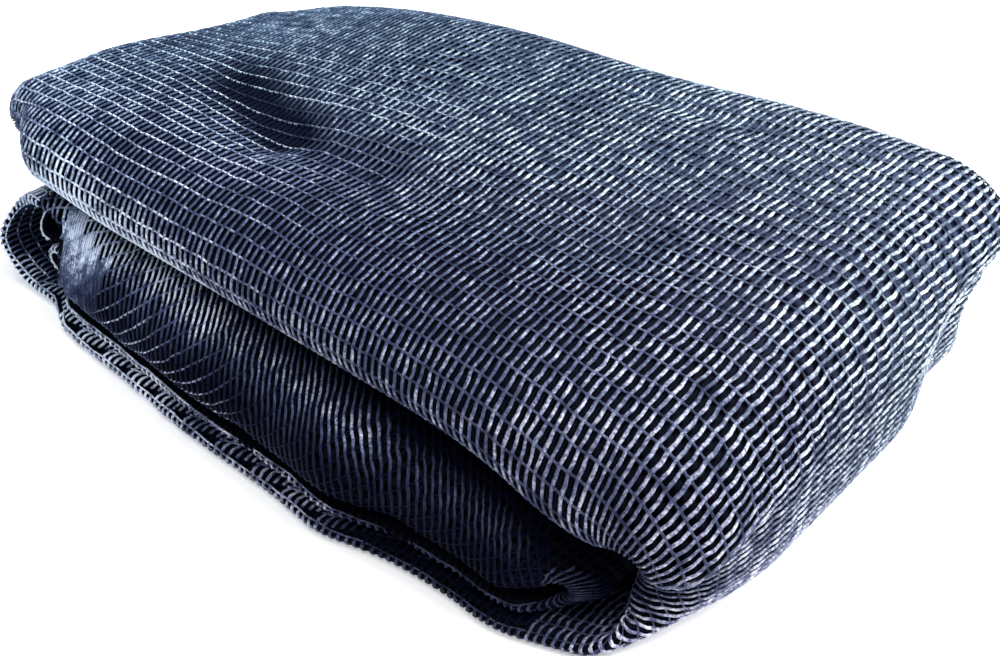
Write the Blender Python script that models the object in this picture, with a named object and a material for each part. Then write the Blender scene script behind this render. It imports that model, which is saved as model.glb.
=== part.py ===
# Pool leaf net, folded into a loose bundle, in metres with +Z up.
# The net is first folded lengthwise into one long band several meshes thick.
# The band is then laid back and forth into two packs, one on the other, that
# stay joined at the +X end, where the outer layer runs round both.
# The origin is on the floor under the middle of the bundle.

import math

import bmesh
import bpy
import numpy as np

# Driving sizes of the stack before it is pressed out of shape
BAND_THICKNESS = 0.0078
LAYER_PITCH = 0.0086
CREVICE = 0.0115

# Heights of the band's middle, layer by layer from the floor
BOTTOM = BAND_THICKNESS / 2
LOWER_FIRST = BOTTOM + LAYER_PITCH
LOWER_SECOND = BOTTOM + 2 * LAYER_PITCH
LOWER_THIRD = BOTTOM + 3 * LAYER_PITCH
LOWER_FOURTH = BOTTOM + 4 * LAYER_PITCH
LOWER_TOP = BOTTOM + 5 * LAYER_PITCH
UPPER_FLOOR = LOWER_TOP + CREVICE
UPPER_SECOND = UPPER_FLOOR + LAYER_PITCH
UPPER_THIRD = UPPER_FLOOR + 2 * LAYER_PITCH
TOP = UPPER_FLOOR + 3 * LAYER_PITCH

# The layers, in the order in which the band runs through them. The reach is
# where a long edge lies along Y, the hang is how far it droops, the roundness
# is how much wider than the least the front edge's bend grows as it hangs, and
# the step is the distance between the sections that shape the layer.
LAYER_COLUMNS = (
    "name", "height", "thick", "front", "back", "front_hang", "back_hang", "front_round", "step",
)
LAYERS = (
    ("upper third", UPPER_THIRD, 0.0068, -0.050, 0.056, 0.000, 0.000, 0.9, 0.030),
    ("upper second", UPPER_SECOND, 0.0068, -0.058, 0.066, 0.000, 0.000, 0.9, 0.040),
    ("upper floor", UPPER_FLOOR, 0.0074, -0.068, 0.080, 0.000, 0.000, 0.9, 0.030),
    ("top", TOP, 0.0078, -0.103, 0.112, 0.026, 0.030, 0.8, 0.014),
    ("bottom", BOTTOM, 0.0078, -0.132, 0.114, 0.000, 0.000, 0.9, 0.018),
    ("lower top", LOWER_TOP, 0.0078, -0.128, 0.108, 0.0245, 0.026, 0.35, 0.016),
    ("lower first", LOWER_FIRST, 0.0068, -0.127, 0.080, 0.000, 0.000, 0.35, 0.030),
    ("lower second", LOWER_SECOND, 0.0068, -0.108, 0.076, 0.000, 0.000, 0.35, 0.040),
    ("lower third", LOWER_THIRD, 0.0068, -0.108, 0.070, 0.000, 0.000, 0.35, 0.040),
    ("lower fourth", LOWER_FOURTH, 0.0068, -0.104, 0.064, 0.000, 0.000, 0.35, 0.022),
)

# The folds between those layers. The end is the furthest X of the band's
# middle, the swell opens the fold past the layers' own distance, and the
# inward columns are how far its long edges draw in towards its axis. The hold
# is the share of the fold that keeps these values. The ease columns are the
# lengths before and after it over which they give way to the layers' own. A
# square of 1 is a round fold, and more makes its lower half squarer.
FOLD_COLUMNS = (
    "name", "end", "swell", "thick", "front", "back", "front_inward", "back_inward",
    "hold", "ease_in", "ease_out", "square", "sections",
)
FOLDS = (
    ("inner nose", -0.186, 0.0, 0.0066, -0.048, 0.056, 0.0, 0.0, 1.0, 0.06, 0.06, 1.0, 6),
    ("tail", 0.160, 0.0, 0.0068, -0.056, 0.070, 0.0, 0.0, 1.0, 0.06, 0.06, 1.0, 6),
    ("nose", -0.207, 0.0, 0.0074, -0.086, 0.084, 0.0088, 0.0088, 1.0, 0.02, 0.035, 1.0, 10),
    ("outer bight", 0.201, 0.0, 0.0078, -0.093, 0.102, 0.0165, 0.0140, 0.1, 0.03, -0.020, 1.95, 20),
    ("outer loop", -0.181, 0.0, 0.0050, -0.126, 0.092, 0.0, 0.0, 1.4, 0.04, 0.03, 1.0, 12),
    ("lower nose", 0.176, 0.0, 0.0072, -0.118, 0.072, 0.0060, 0.0090, 0.4, 0.02, 0.01, 1.0, 10),
    ("first roll", -0.158, 0.0012, 0.0050, -0.114, 0.080, 0.0, 0.0, 1.3, 0.03, 0.02, 1.0, 7),
    ("lower tail", 0.136, 0.0, 0.0068, -0.084, 0.070, 0.0, 0.0, 1.0, 0.06, 0.06, 1.0, 6),
    ("second roll", -0.165, 0.0012, 0.0050, -0.116, 0.080, 0.0, 0.0, 1.3, 0.02, 0.02, 1.0, 7),
)
UPPER_START = 0.140
LOWER_END = 0.130
SWELL_EASE = 0.040

# The band's cross section
CURL_UNDER = math.radians(35)
LEAST_CURVE = math.radians(60)  # where the curve of a shallow edge begins
FULL_CURL_HANG = 0.020
SHOULDER_WIDTH = 0.006
BACK_ROUND = 0.9
SHOULDER_POINTS = 5
FLAT_POINTS = 3
PROFILE_POINTS = 2 * SHOULDER_POINTS + FLAT_POINTS
RING_POINTS = 2 * PROFILE_POINTS + 2
TIP = 0.42  # roundness of a long edge, as a share of the thickness

# How the stack is pressed out of shape
UPPER_FLARE = 0.18  # how much wider the upper pack grows towards +X, all at the back
LOWER_FLARE = 0.06
LEFT_TAPER_LOW = 0.07  # how much the lower pack narrows towards -X, at the floor
LEFT_TAPER_HIGH = 0.16
FRONT_TAPER = 0.032  # how much the lower pack's front draws in towards +X
NEAR_CORNER_TAPER = 0.14  # how much more it draws in round the corner
NEAR_CORNER_CUT = 0.0115  # how far the +X end draws in there
FAR_CORNER_CUT = 0.032  # how far the upper pack's corner at the back and -X draws in
WAIST_CUT = 0.010  # how far the +X end draws in under the upper pack, at the back
LOWER_DROP = 0.008  # how far the lower pack's long edges sink
FRONT_SINK = 0.008  # how far the upper pack's front edge follows them
BACK_RISE = 0.002  # how far its back edge stands off instead
CREVICE_FLOOR = LOWER_TOP + BAND_THICKNESS / 2
CREVICE_ROOF = UPPER_FLOOR - BAND_THICKNESS / 2
PACK_BLEND = 0.015

# The near corner at the +X end sags, most at the height of the crevice
SAG = {
    "x": 0.172, "y": -0.100, "turned": 0, "spread_x": 0.045, "spread_y": 0.040,
    "depth": 0.021, "starts": 0.016, "most": (CREVICE_FLOOR + CREVICE_ROOF) / 2, "fades": 0.120,
}

# Where each of those changes begins and where it is full, along one axis
RAMP_COLUMNS = ("name", "axis", "begins", "full")
RAMPS = (
    ("front edge", "y", -0.055, -0.125),
    ("back edge", "y", 0.060, 0.130),
    ("open crevice", "x", -0.180, -0.100),
    ("above crevice", "z", CREVICE_FLOOR, CREVICE_ROOF),
    ("upper pack", "z", CREVICE_FLOOR - PACK_BLEND, CREVICE_ROOF + PACK_BLEND),
    ("flare", "y", -0.090, 0.120),
    ("left taper", "x", -0.060, -0.150),
    ("high taper", "z", 0.020, 0.045),
    ("front taper", "x", 0.030, 0.100),
    ("front side", "y", -0.080, -0.120),
    ("corner taper", "x", 0.130, 0.210),
    ("corner side", "y", -0.060, -0.135),
    ("right end", "x", 0.110, 0.190),
    ("near half", "y", -0.045, -0.110),
    ("back half", "y", 0.030, 0.075),
    ("below waist", "z", 0.070, 0.045),
    ("left end", "x", -0.040, -0.200),
    ("far side", "y", -0.030, 0.080),
)

# Swellings and dents of the whole stack: the place, the spread each way, how
# far the swelling is turned in plan, and its share of the height in each pack.
SWELLING_COLUMNS = (
    "name", "x", "y", "spread_x", "spread_y", "turned", "lower_share", "upper_share",
)
SWELLINGS = (
    ("crown", 0.030, 0.040, 0.150, 0.090, 0, 0.13, 0.13),
    ("left end", -0.200, 0.000, 0.060, 0.200, 0, -0.06, -0.06),
    ("dent", -0.090, -0.030, 0.050, 0.034, -18, 0.0, -0.07),
    ("hump", -0.090, 0.060, 0.060, 0.060, 0, 0.0, 0.06),
    ("back right", 0.115, 0.110, 0.060, 0.060, 0, 0.0, 0.055),
    ("back middle", -0.030, 0.110, 0.050, 0.040, 0, 0.0, 0.045),
)

# Where the front edges of the lower pack reach further out or less
WAVE_COLUMNS = ("x", "spread", "reach")
FRONT_WAVES = (
    (-0.072, 0.030, -0.0035),
    (0.058, 0.018, 0.0036),
    (0.118, 0.030, -0.0030),
)


def smoothstep(value, low, high):
    share = np.clip((value - low) / (high - low), 0.0, 1.0)
    return share * share * (3 - 2 * share)


def rows(columns, table):
    return [dict(zip(columns, row)) for row in table]


def fold_arc(fold, before, after, heading):
    """The band's middle round one fold, and the side of it that faces the fold's axis."""
    radius = abs(after - before) / 2 + fold["swell"]
    middle = (after + before) / 2
    rise = math.copysign(radius, before - middle)
    centre = fold["end"] - heading * radius
    angles = np.linspace(0, math.pi, fold["sections"])
    flatter = np.where(rise * np.cos(angles) < 0, 1 / fold["square"], 1.0)
    x = centre + heading * radius * np.abs(np.sin(angles)) ** flatter
    z = middle + rise * np.sign(np.cos(angles)) * np.abs(np.cos(angles)) ** flatter
    inward = 1 if heading * (after - before) > 0 else -1
    return x, z, inward


def fold_shape(fold, inward):
    shape = {key: fold[key] for key in ("thick", "front", "back")}
    shape["front_shift"] = inward * fold["front_inward"]
    shape["back_shift"] = inward * fold["back_inward"]
    return shape


def layer_shape(layer, heading):
    shape = {key: layer[key] for key in ("thick", "front", "back", "front_round")}
    shape["front_shift"] = -heading * layer["front_hang"]
    shape["back_shift"] = -heading * layer["back_hang"]
    return shape


def heading_of(index):
    return -1 if index % 2 == 0 else 1


def layer_run(layer, start, end, opened, skip_first, skip_last):
    """The band's middle along one layer. The swells of its folds open it at both ends."""
    count = max(4, round(abs(end - start) / layer["step"]))
    x = np.linspace(start, end, count + 1)[1 if skip_first else 0:None if not skip_last else -1]
    z = np.full_like(x, layer["height"])
    for edge, swell in opened:
        z += swell * (1 - smoothstep(np.abs(x - edge), 0, SWELL_EASE))
    return x, z


def band_sections():
    """The band's middle, section by section, with how wide it is there and how its edges hang."""
    layers = rows(LAYER_COLUMNS, LAYERS)
    folds = rows(FOLD_COLUMNS, FOLDS)
    heights = [layer["height"] for layer in layers]
    arcs = [
        fold_arc(fold, heights[index], heights[index + 1], heading_of(index))
        for index, fold in enumerate(folds)
    ]
    places, owners = [], []
    for index, layer in enumerate(layers):
        first, last = index == 0, index == len(folds)
        start = UPPER_START if first else arcs[index - 1][0][-1]
        end = LOWER_END if last else arcs[index][0][0]
        opened = []
        if not first:
            away = math.copysign(folds[index - 1]["swell"], heights[index] - heights[index - 1])
            opened.append((start, away))
        if not last:
            away = math.copysign(folds[index]["swell"], heights[index] - heights[index + 1])
            opened.append((end, away))
        x, z = layer_run(layer, start, end, opened, not first, not last)
        places.extend(zip(x, z))
        owners.extend([("layer", index)] * len(x))
        if not last:
            places.extend(zip(arcs[index][0], arcs[index][1]))
            owners.extend([("fold", index)] * len(arcs[index][0]))
    path = np.array(places)
    along = np.concatenate([[0], np.cumsum(np.linalg.norm(np.diff(path, axis=0), axis=1))])
    spans = []
    for index in range(len(folds)):
        own = [s for s, owner in zip(along, owners) if owner == ("fold", index)]
        spans.append(((own[0] + own[-1]) / 2, (own[-1] - own[0]) / 2))
    shapes = []
    for s, (kind, index) in zip(along, owners):
        nearer_layer = index
        if kind == "fold" and s > spans[index][0]:
            nearer_layer = index + 1
        shape = layer_shape(layers[nearer_layer], heading_of(nearer_layer))
        for number in (nearer_layer - 1, nearer_layer):
            if not 0 <= number < len(folds):
                continue
            middle, half = spans[number]
            fold = folds[number]
            ease = fold["ease_in"] if s < middle else fold["ease_out"]
            own = 1 - smoothstep(abs(s - middle), fold["hold"] * half, half + ease)
            for key, value in fold_shape(fold, arcs[number][2]).items():
                shape[key] += own * (value - shape[key])
        shapes.append(shape)
    return path, shapes


def shoulder(edge, shift, side, roundness):
    """One long edge of the cross section, from its tip to where the band runs flat."""
    width = SHOULDER_WIDTH + roundness * abs(shift)
    curled = smoothstep(abs(shift), 0, FULL_CURL_HANG)
    start = LEAST_CURVE - curled * (LEAST_CURVE + CURL_UNDER)
    angles = np.linspace(start, math.pi / 2, SHOULDER_POINTS)
    widest = math.cos(max(start, 0))
    across = edge - side * width * (widest - np.cos(angles)) / widest
    along_normal = shift * (1 - np.sin(angles)) / (1 - np.sin(start))
    return np.stack([across, along_normal], 1)


def cross_section(shape):
    """The closed outline of the band at one section, as distances along Y and along its normal."""
    front = shoulder(shape["front"], shape["front_shift"], -1, shape["front_round"])
    back = shoulder(shape["back"], shape["back_shift"], 1, BACK_ROUND)[::-1]
    flat = np.linspace(front[-1], back[0], FLAT_POINTS + 2)[1:-1]
    middle = np.concatenate([front, flat, back])
    tangent = np.gradient(middle, axis=0)
    tangent /= np.linalg.norm(tangent, axis=1)[:, None]
    normal = np.stack([-tangent[:, 1], tangent[:, 0]], 1)
    half = shape["thick"] / 2
    outer = middle + half * normal
    inner = middle - half * normal
    back_tip = middle[-1] + TIP * shape["thick"] * tangent[-1]
    front_tip = middle[0] - TIP * shape["thick"] * tangent[0]
    return np.concatenate([outer, [back_tip], inner[::-1], [front_tip]])


def band_rings():
    """All the points of the band, as one ring of points for each section."""
    path, shapes = band_sections()
    tangent = np.gradient(path, axis=0)
    tangent /= np.linalg.norm(tangent, axis=1)[:, None]
    rings = []
    for shape, place, ahead in zip(shapes, path, tangent):
        outline = cross_section(shape)
        x = place[0] - ahead[1] * outline[:, 1]
        z = place[1] + ahead[0] * outline[:, 1]
        rings.append(np.stack([x, outline[:, 0], z], 1))
    return np.array(rings)


def swelling(row, x, y):
    """A soft mound, 1 high at its own place."""
    turn = math.radians(row["turned"])
    across = (x - row["x"]) * math.cos(turn) + (y - row["y"]) * math.sin(turn)
    up = (y - row["y"]) * math.cos(turn) - (x - row["x"]) * math.sin(turn)
    return np.exp(-((across / row["spread_x"]) ** 2) - (up / row["spread_y"]) ** 2)


def pressed(points):
    """The stack as it really lies."""
    x, y, z = points[..., 0], points[..., 1], points[..., 2]
    along = {"x": x, "y": y, "z": z}
    ramp = {
        row["name"]: smoothstep(along[row["axis"]], row["begins"], row["full"])
        for row in rows(RAMP_COLUMNS, RAMPS)
    }
    upper, above = ramp["upper pack"], ramp["above crevice"]
    drop = LOWER_DROP * np.clip(z / CREVICE_FLOOR, 0, 1)
    at_front = above * (LOWER_DROP - FRONT_SINK) - drop
    at_back = above * (LOWER_DROP + BACK_RISE) - drop
    opened = at_front * ramp["front edge"] + at_back * ramp["back edge"]
    sag = np.interp(z, (SAG["starts"], SAG["most"], SAG["fades"]), (0.0, 1.0, 0.0))
    z = z + ramp["open crevice"] * opened - SAG["depth"] * swelling(SAG, x, y) * sag
    flare = LOWER_FLARE + (UPPER_FLARE - LOWER_FLARE) * upper
    taper = LEFT_TAPER_LOW + (LEFT_TAPER_HIGH - LEFT_TAPER_LOW) * ramp["high taper"]
    narrower = taper * ramp["left taper"]
    narrower += FRONT_TAPER * ramp["front taper"] * ramp["front side"]
    narrower += NEAR_CORNER_TAPER * ramp["corner taper"] * ramp["corner side"]
    y = (y + flare * x * ramp["flare"]) * (1 - narrower * (1 - above))
    for row in rows(WAVE_COLUMNS, FRONT_WAVES):
        wave = row["reach"] * np.exp(-(((x - row["x"]) / row["spread"]) ** 2))
        y = y - wave * ramp["front side"] * (1 - above)
    cut = WAIST_CUT * ramp["back half"] * ramp["below waist"]
    cut += NEAR_CORNER_CUT * ramp["near half"] * (1 - above)
    x = x - cut * ramp["right end"] + FAR_CORNER_CUT * ramp["left end"] * ramp["far side"] * above
    height = np.ones_like(z)
    for row in rows(SWELLING_COLUMNS, SWELLINGS):
        share = row["lower_share"] + (row["upper_share"] - row["lower_share"]) * upper
        height += share * swelling(row, x, y)
    return np.stack([x, y, z * height], -1)


def centred(points):
    """The points, with the origin under the middle of their box."""
    corners = points.reshape(-1, 3)
    middle = (corners.min(axis=0) + corners.max(axis=0)) / 2
    return points - middle * (1, 1, 0)


def band_object():
    rings = centred(pressed(band_rings()))
    mesh = bmesh.new()
    loops = [[mesh.verts.new(point) for point in ring] for ring in rings]
    for one, two in zip(loops, loops[1:]):
        for index in range(RING_POINTS):
            following = (index + 1) % RING_POINTS
            mesh.faces.new((one[index], two[index], two[following], one[following]))
    for loop, flipped in ((loops[0], False), (loops[-1], True)):
        close_end(mesh, loop, flipped)
    bmesh.ops.recalc_face_normals(mesh, faces=mesh.faces)
    data = bpy.data.meshes.new("leaf_net")
    mesh.to_mesh(data)
    mesh.free()
    data.shade_smooth()
    body = bpy.data.objects.new("leaf_net", data)
    bpy.context.scene.collection.objects.link(body)
    return body


def close_end(mesh, loop, flipped):
    """Fills the band's cut end between its two faces."""
    outer = loop[:PROFILE_POINTS]
    inner = loop[PROFILE_POINTS + 1:-1][::-1]
    corners = [(outer[0], inner[0], loop[-1]), (outer[-1], loop[PROFILE_POINTS], inner[-1])]
    for index in range(PROFILE_POINTS - 1):
        corners.append((outer[index], outer[index + 1], inner[index + 1], inner[index]))
    for face in corners:
        mesh.faces.new(face[::-1] if flipped else face)


def net_material():
    material = bpy.data.materials.new("navy net")
    material.use_nodes = True
    shader = material.node_tree.nodes["Principled BSDF"]
    shader.inputs["Base Color"].default_value = (0.035, 0.045, 0.085, 1.0)
    shader.inputs["Roughness"].default_value = 0.6
    shader.inputs["Metallic"].default_value = 0.0
    return material


for old in list(bpy.data.objects):
    bpy.data.objects.remove(old)

bundle = band_object()
bundle.data.materials.append(net_material())
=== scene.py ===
import math

import bmesh
import bpy
import numpy as np
from mathutils import Matrix, Vector


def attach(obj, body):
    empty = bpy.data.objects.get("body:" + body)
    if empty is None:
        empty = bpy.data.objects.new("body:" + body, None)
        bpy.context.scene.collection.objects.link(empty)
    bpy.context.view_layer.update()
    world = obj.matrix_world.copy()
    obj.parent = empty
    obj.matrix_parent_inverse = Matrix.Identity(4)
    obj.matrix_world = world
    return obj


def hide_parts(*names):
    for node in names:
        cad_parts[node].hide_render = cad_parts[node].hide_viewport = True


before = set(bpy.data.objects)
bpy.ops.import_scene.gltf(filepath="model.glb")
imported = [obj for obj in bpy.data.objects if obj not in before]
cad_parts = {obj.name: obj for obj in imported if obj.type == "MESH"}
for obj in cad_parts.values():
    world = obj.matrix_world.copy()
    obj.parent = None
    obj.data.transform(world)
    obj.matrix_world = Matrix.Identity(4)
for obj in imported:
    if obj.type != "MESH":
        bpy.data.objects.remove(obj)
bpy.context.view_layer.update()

bpy.ops.object.select_all(action="DESELECT")

# The camera and the studio come first. Lengths are in metres, the origin is on the floor under the bundle.
cameraSettings = dict(
    place=(0.35419, -0.35962, 0.36887), elevation=37, azimuth=42, roll=-0.5,
    lens=48.384, sensor=36, clipStart=0.01,
)
studioSettings = dict(
    floorSize=8, floorColour=(0.94, 0.94, 0.94), floorGlow=0.3, floorRoughness=0.9,
    skyColour=(0.93, 0.96, 1.0), skyStrength=0.45, aim=(0, 0, 0.05),
    keyPlace=(0.80, 0.75, 0.95), keySize=1.1, keyPower=38, keyColour=(0.96, 0.985, 1.0),
    topPlace=(0.1, 0.15, 1.6), topSize=1.8, topPower=26, topColour=(1, 1, 1),
)


def setCamera():
    c = cameraSettings
    elevation, azimuth, roll = (math.radians(c[key]) for key in ("elevation", "azimuth", "roll"))
    level = math.cos(elevation)
    back = Vector((math.sin(azimuth) * level, -math.cos(azimuth) * level, math.sin(elevation)))
    right = Vector((math.cos(azimuth), math.sin(azimuth), 0))
    up = right.cross(-back)
    turnedRight = right * math.cos(roll) + up * math.sin(roll)
    turnedUp = up * math.cos(roll) - right * math.sin(roll)
    lens = bpy.data.cameras.new("camera")
    lens.lens, lens.sensor_width = c["lens"], c["sensor"]
    lens.clip_start = c["clipStart"]
    camera = bpy.data.objects.new("camera", lens)
    turn = Matrix((turnedRight, turnedUp, back)).transposed().to_4x4()
    camera.matrix_world = Matrix.Translation(c["place"]) @ turn
    bpy.context.collection.objects.link(camera)
    bpy.context.scene.camera = camera


def areaLight(name, place, size, power, colour):
    lamp = bpy.data.lights.new(name, "AREA")
    lamp.size, lamp.energy, lamp.color = size, power, colour
    light = bpy.data.objects.new(name, lamp)
    light.location = place
    way = Vector(studioSettings["aim"]) - Vector(place)
    light.rotation_euler = way.to_track_quat("-Z", "Y").to_euler()
    bpy.context.collection.objects.link(light)


def setStudio():
    s = studioSettings
    bpy.ops.mesh.primitive_plane_add(size=s["floorSize"], location=(0, 0, 0))
    floor = bpy.context.object
    floor.name = "floor"
    paint = bpy.data.materials.new("pale floor")
    paint.use_nodes = True
    shader = paint.node_tree.nodes["Principled BSDF"]
    for name in ("Base Color", "Emission Color"):
        shader.inputs[name].default_value = (*s["floorColour"], 1)
    shader.inputs["Emission Strength"].default_value = s["floorGlow"]
    shader.inputs["Roughness"].default_value = s["floorRoughness"]
    floor.data.materials.append(paint)
    world = bpy.data.worlds.new("studio")
    world.use_nodes = True
    sky = world.node_tree.nodes["Background"]
    sky.inputs["Color"].default_value = (*s["skyColour"], 1)
    sky.inputs["Strength"].default_value = s["skyStrength"]
    bpy.context.scene.world = world
    areaLight("key light", s["keyPlace"], s["keySize"], s["keyPower"], s["keyColour"])
    areaLight("top light", s["topPlace"], s["topSize"], s["topPower"], s["topColour"])
    bpy.context.scene.view_settings.view_transform = "Standard"
    return floor


setCamera()
floor = setStudio()
print("camera and studio are set")

# The net is folded lengthwise into a band, and the band lies back and forth in two packs.
thickness, layerPitch, crevice = 0.0078, 0.0086, 0.0115
heights = {"bottom": thickness / 2}
for number, name in enumerate(("lower first", "lower second", "lower third", "lower fourth", "lower top")):
    heights[name] = thickness / 2 + (number + 1) * layerPitch
heights["upper floor"] = heights["lower top"] + crevice
for number, name in enumerate(("upper second", "upper third", "top")):
    heights[name] = heights["upper floor"] + (number + 1) * layerPitch

layerColumns = ("name", "thick", "front", "back", "frontHang", "backHang", "frontRound")
layerRows = (
    ("upper third", 0.0068, -0.050, 0.056, 0.000, 0.000, 0.9),
    ("upper second", 0.0068, -0.058, 0.066, 0.000, 0.000, 0.9),
    ("upper floor", 0.0074, -0.068, 0.080, 0.000, 0.000, 0.9),
    ("top", 0.0078, -0.103, 0.112, 0.026, 0.030, 0.8),
    ("bottom", 0.0078, -0.132, 0.114, 0.000, 0.000, 0.9),
    ("lower top", 0.0078, -0.128, 0.108, 0.0245, 0.026, 0.35),
    ("lower first", 0.0068, -0.127, 0.080, 0.000, 0.000, 0.35),
    ("lower second", 0.0068, -0.108, 0.076, 0.000, 0.000, 0.35),
    ("lower third", 0.0068, -0.108, 0.070, 0.000, 0.000, 0.35),
    ("lower fourth", 0.0068, -0.104, 0.064, 0.000, 0.000, 0.35),
)
foldColumns = (
    "name", "end", "swell", "thick", "front", "back", "frontInward", "backInward",
    "hold", "easeIn", "easeOut", "square", "sections",
)
foldRows = (
    ("inner nose", -0.186, 0.0, 0.0066, -0.048, 0.056, 0.0, 0.0, 1.0, 0.06, 0.06, 1.0, 6),
    ("tail", 0.160, 0.0, 0.0068, -0.056, 0.070, 0.0, 0.0, 1.0, 0.06, 0.06, 1.0, 6),
    ("nose", -0.207, 0.0, 0.0074, -0.086, 0.084, 0.0088, 0.0088, 1.0, 0.02, 0.035, 1.0, 10),
    ("outer bight", 0.201, 0.0, 0.0078, -0.093, 0.102, 0.0165, 0.0140, 0.1, 0.03, -0.020, 1.95, 20),
    ("outer loop", -0.181, 0.0, 0.0050, -0.126, 0.092, 0.0, 0.0, 1.4, 0.04, 0.03, 1.0, 12),
    ("lower nose", 0.176, 0.0, 0.0072, -0.118, 0.072, 0.0060, 0.0090, 0.4, 0.02, 0.01, 1.0, 10),
    ("first roll", -0.158, 0.0012, 0.0050, -0.114, 0.080, 0.0, 0.0, 1.3, 0.03, 0.02, 1.0, 7),
    ("lower tail", 0.136, 0.0, 0.0068, -0.084, 0.070, 0.0, 0.0, 1.0, 0.06, 0.06, 1.0, 6),
    ("second roll", -0.165, 0.0012, 0.0050, -0.116, 0.080, 0.0, 0.0, 1.3, 0.02, 0.02, 1.0, 7),
)
bandEnds = dict(upperStart=0.140, lowerEnd=0.130, swellEase=0.040, leastSections=4)
edgeShape = dict(
    curlUnder=math.radians(35), leastCurve=math.radians(60), fullCurlHang=0.020,
    shoulderWidth=0.006, backRound=0.9, tip=0.42,
)
pressing = dict(
    upperFlare=0.18, lowerFlare=0.06, leftTaperLow=0.07, leftTaperHigh=0.16, frontTaper=0.032,
    nearCornerTaper=0.14, nearCornerCut=0.0115, farCornerCut=0.032, waistCut=0.010,
    lowerDrop=0.008, frontSink=0.008, backRise=0.002, packBlend=0.015,
    centring=(0.00281, -0.00200, 0.0),
)
creviceFloor = heights["lower top"] + thickness / 2
creviceRoof = heights["upper floor"] - thickness / 2
# The near corner at the right end sags, most at the height of the crevice.
sag = dict(
    x=0.172, y=-0.100, turned=0, spreadX=0.045, spreadY=0.040,
    depth=0.021, starts=0.016, most=(creviceFloor + creviceRoof) / 2, fades=0.120,
)
# Each change of the pressed stack grows along one axis, from where it begins to where it is full.
ramps = {
    "frontEdge": ("y", -0.055, -0.125), "backEdge": ("y", 0.060, 0.130),
    "openCrevice": ("x", -0.180, -0.100), "aboveCrevice": ("z", creviceFloor, creviceRoof),
    "upperPack": ("z", creviceFloor - pressing["packBlend"], creviceRoof + pressing["packBlend"]),
    "flare": ("y", -0.090, 0.120), "leftTaper": ("x", -0.060, -0.150), "highTaper": ("z", 0.020, 0.045),
    "frontTaper": ("x", 0.030, 0.100), "frontSide": ("y", -0.080, -0.120),
    "cornerTaper": ("x", 0.130, 0.210), "cornerSide": ("y", -0.060, -0.135),
    "rightEnd": ("x", 0.110, 0.190), "nearHalf": ("y", -0.045, -0.110), "backHalf": ("y", 0.030, 0.075),
    "belowWaist": ("z", 0.070, 0.045), "leftEnd": ("x", -0.040, -0.200), "farSide": ("y", -0.030, 0.080),
}
swellingColumns = ("name", "x", "y", "spreadX", "spreadY", "turned", "lowerShare", "upperShare")
swellingRows = (
    ("crown", 0.030, 0.040, 0.150, 0.090, 0, 0.13, 0.13),
    ("left end", -0.200, 0.000, 0.060, 0.200, 0, -0.06, -0.06),
    ("dent", -0.090, -0.030, 0.050, 0.034, -18, 0.0, -0.07),
    ("hump", -0.090, 0.060, 0.060, 0.060, 0, 0.0, 0.06),
    ("back right", 0.115, 0.110, 0.060, 0.060, 0, 0.0, 0.055),
    ("back middle", -0.030, 0.110, 0.050, 0.040, 0, 0.0, 0.045),
)
# Where the front edges of the lower pack reach further out or less.
waveColumns = ("x", "spread", "reach")
waveRows = ((-0.072, 0.030, -0.0035), (0.058, 0.018, 0.0036), (0.118, 0.030, -0.0030))
# Finer folds of the skin, each a soft trough or ridge between two places, with its spread and its height.
creaseColumns = ("name", "start", "end", "spread", "height")
creaseRows = (
    ("dent", (-0.118, -0.020, 0.080), (-0.055, -0.042, 0.083), 0.016, -0.0034),
    ("valley beyond the dent", (-0.055, -0.042, 0.084), (0.000, -0.038, 0.092), 0.012, -0.0016),
    ("dent's far bank", (-0.104, 0.002, 0.084), (-0.046, -0.014, 0.090), 0.012, 0.0014),
    ("near hollow", (-0.012, -0.046, 0.094), (0.040, -0.042, 0.096), 0.018, -0.0022),
    ("far crease", (0.050, 0.072, 0.098), (0.105, 0.078, 0.098), 0.006, -0.0016),
    ("front pleat, left", (-0.092, -0.116, 0.040), (-0.066, -0.130, 0.014), 0.006, 0.0012),
    ("front pleat", (-0.010, -0.118, 0.042), (0.012, -0.132, 0.014), 0.007, -0.0014),
    ("front pleat, right", (0.075, -0.116, 0.042), (0.092, -0.126, 0.014), 0.008, -0.0016),
)
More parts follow.
